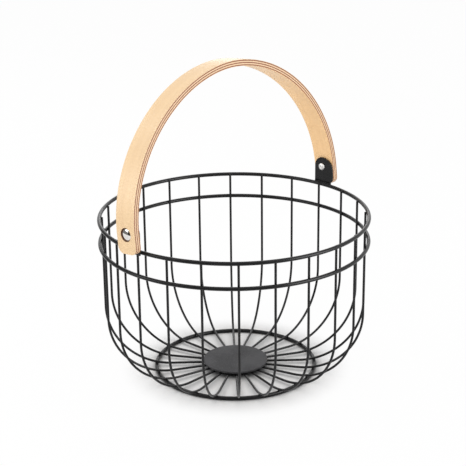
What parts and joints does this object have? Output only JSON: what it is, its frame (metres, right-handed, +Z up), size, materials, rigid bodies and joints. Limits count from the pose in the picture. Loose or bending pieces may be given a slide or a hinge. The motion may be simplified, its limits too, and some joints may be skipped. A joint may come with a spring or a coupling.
{
  "type": "fruit basket",
  "caption": "Round open wire fruit basket with radial ribs, rim rings, a foot ring and a hinged bent-plywood handle that folds down onto the rim either way.",
  "frame": {"origin": "on the basket's upright axis, at the level it stands on", "axes": "+Z up; X along the handle's hinge axis; the handle's bow lies near the X-Z plane and leans towards +Y at rest"},
  "size_m": [0.3004, 0.2804, 0.3297],
  "materials": {
    "black_coat": "satin black powder coat on round steel wire and plate",
    "grey_coat": "matt dark grey fine-textured powder coat",
    "plywood": "clear satin lacquer on bent plywood with dark glue lines at the edges",
    "polished_steel": "mirror polished",
    "bright_steel": "bright zinc plated",
    "washer_plastic": "plain moulded"
  },
  "bodies": {
    "basket": {"rim_ring": "black_coat", "second_ring": "black_coat", "foot_ring": "black_coat", "rib_01": "black_coat", "rib_02": "black_coat", "rib_03": "black_coat", "rib_04": "black_coat", "rib_05": "black_coat", "rib_06": "black_coat", "rib_07": "black_coat", "rib_08": "black_coat", "rib_09": "black_coat", "rib_10": "black_coat", "rib_11": "black_coat", "rib_12": "black_coat", "rib_13": "black_coat", "rib_14": "black_coat", "rib_15": "black_coat", "rib_16": "black_coat", "rib_17": "black_coat", "rib_18": "black_coat", "rib_19": "black_coat", "rib_20": "black_coat", "rib_21": "black_coat", "rib_22": "black_coat", "rib_23": "black_coat", "rib_24": "black_coat", "bracket_right": "black_coat", "bracket_left": "black_coat", "centre_disc": "grey_coat", "pivot_cap_nut_right": "polished_steel", "pivot_screw_right": "bright_steel", "pivot_washer_right": "washer_plastic", "pivot_cap_nut_left": "polished_steel", "pivot_screw_left": "bright_steel", "pivot_washer_left": "washer_plastic"},
    "handle": {"handle_bow": "plywood"}
  },
  "joints": [
    {"name": "handle_swing", "type": "hinge", "parent": "basket", "child": "handle", "pos_m": [0, 0, 0.1882], "axis": [1, 0, 0], "range_deg": [-85.6, 97.6]}
  ]
}
